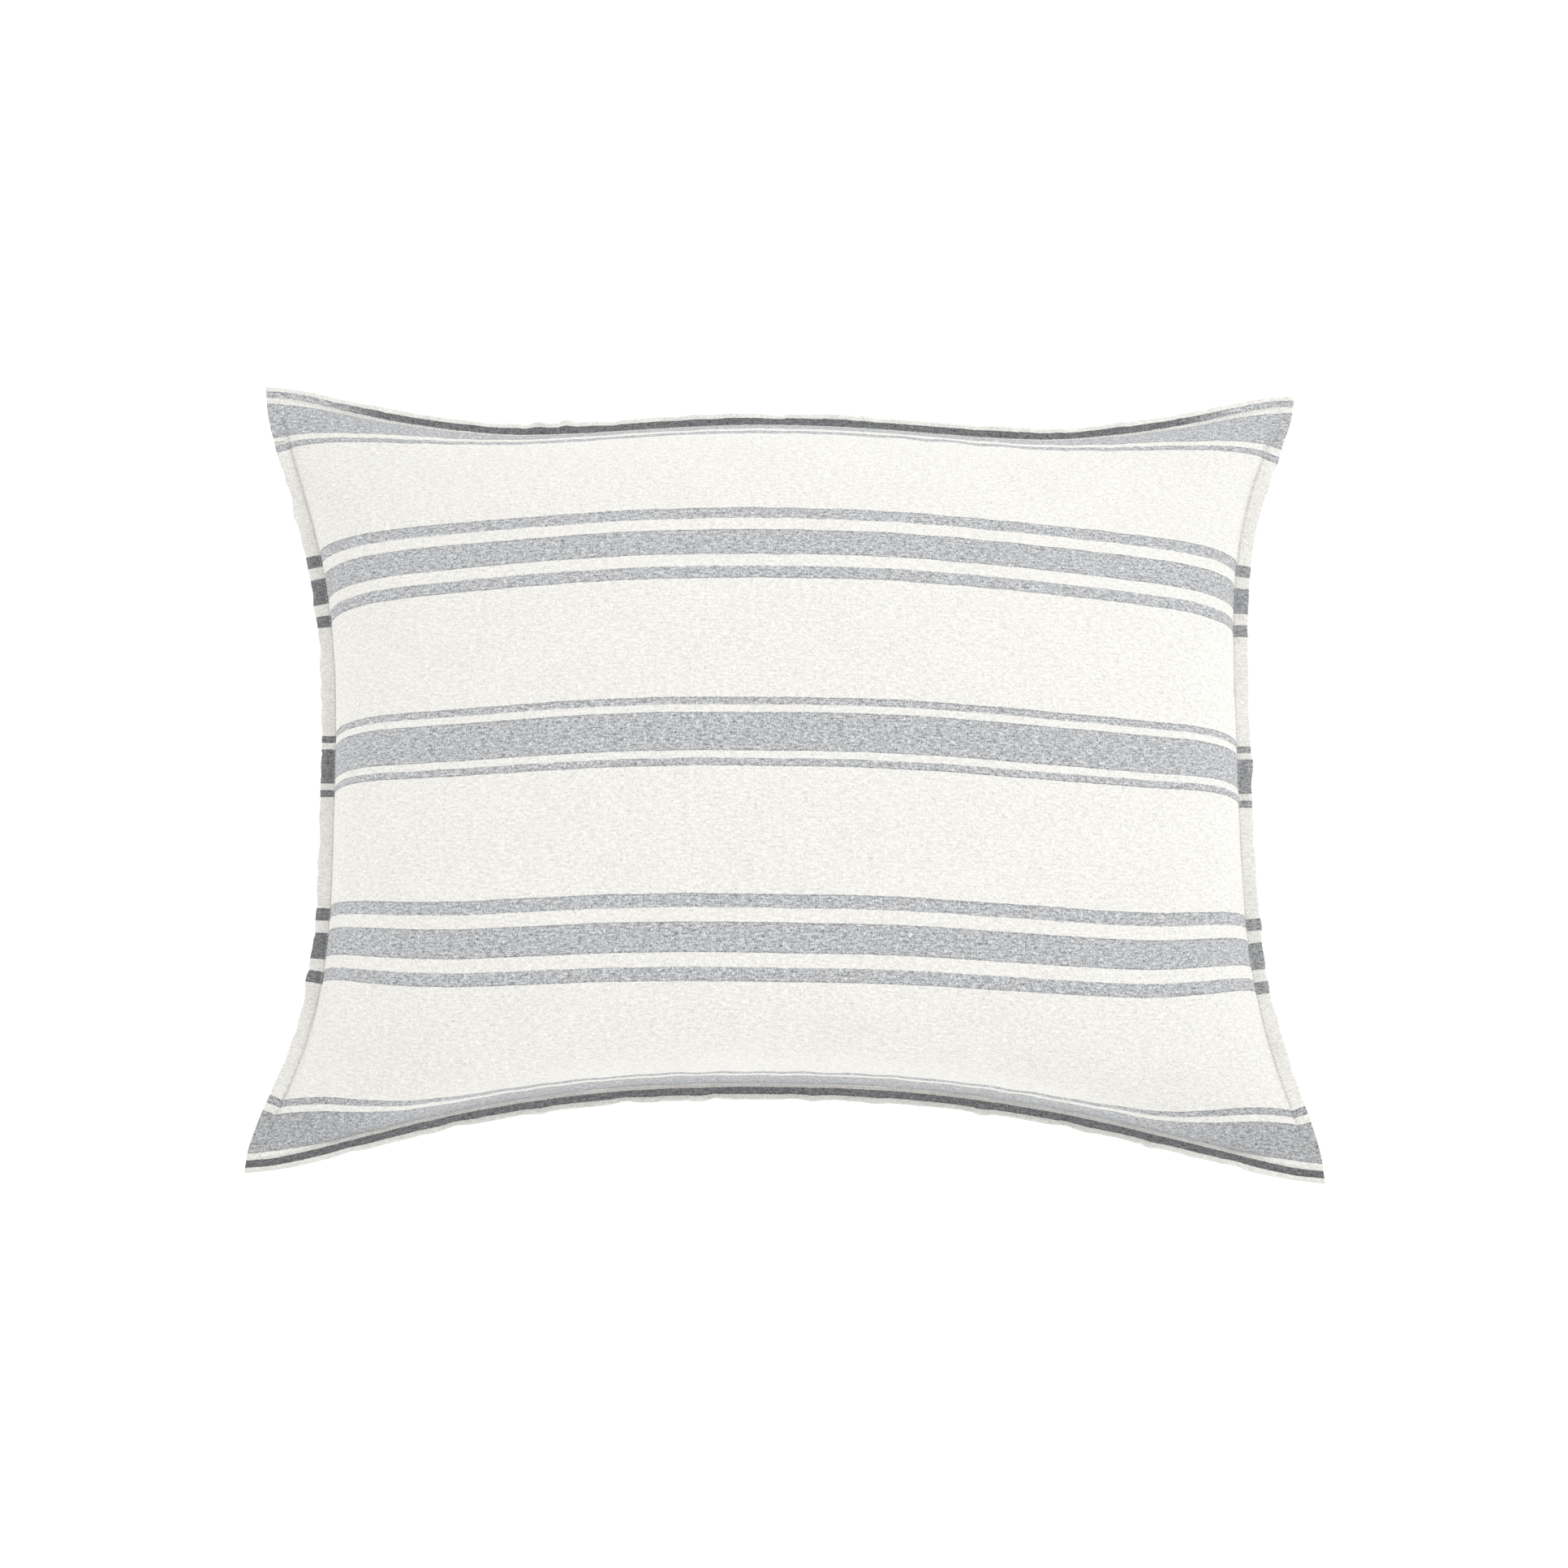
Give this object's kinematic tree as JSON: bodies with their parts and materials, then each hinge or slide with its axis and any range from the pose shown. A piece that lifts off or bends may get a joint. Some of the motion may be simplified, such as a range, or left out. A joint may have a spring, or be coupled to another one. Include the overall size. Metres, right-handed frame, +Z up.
{
  "type": "throw pillow",
  "caption": "Rectangular stuffed throw pillow in grey-striped cream linen, with a narrow stitched flange, a zipped removable cover and a filled insert.",
  "frame": {"origin": "on the floor under the middle of the pillow, which lies on its back", "axes": "+X along the long side, +Y along the short side away from the zip, +Z up, out of the striped front"},
  "size_m": [0.908, 0.698, 0.249],
  "materials": {
    "striped_linen": "matte crinkled linen, cream with grey chambray stripes",
    "sewing_thread": "matte spun thread",
    "zip_tape": "matte woven tape",
    "zip_coil": "satin nylon coil",
    "zip_metal": "satin cream enamel",
    "label_tape": "satin ribbon, blank",
    "insert_cotton": "plain woven cotton",
    "fibre_fill": "loose polyester fibre"
  },
  "bodies": {
    "pillow": {"cover_front_panel": "striped_linen", "cover_back_panel": "striped_linen", "flange_topstitch_front": "sewing_thread", "flange_topstitch_back": "sewing_thread", "zip_stitch_upper": "sewing_thread", "zip_stitch_lower": "sewing_thread", "zip_tape_upper": "zip_tape", "zip_tape_lower": "zip_tape", "zip_coil_upper": "zip_coil", "zip_coil_lower": "zip_coil", "zip_top_stop": "zip_metal", "zip_bottom_stop": "zip_metal", "cover_care_label": "label_tape", "insert_label": "label_tape", "insert_shell_front": "insert_cotton", "insert_shell_back": "insert_cotton", "insert_edge_seam": "insert_cotton", "insert_fill": "fibre_fill"},
    "zip_slider": {"zip_slider": "zip_metal"},
    "zip_pull": {"zip_pull": "zip_metal"}
  },
  "joints": [
    {"name": "zip_travel", "type": "hinge", "parent": "pillow", "child": "zip_slider", "pos_m": [0, -1.95334, 0.091], "axis": [0, 0, 1], "range_deg": [0, 14.92], "deforming": ["zip_coil_upper", "zip_coil_lower"]},
    {"name": "zip_pull_hinge", "type": "hinge", "parent": "zip_slider", "child": "zip_pull", "pos_m": [0.2287, -0.28515, 0.091], "axis": [0, 0, 1], "range_deg": [0, 165]}
  ]
}
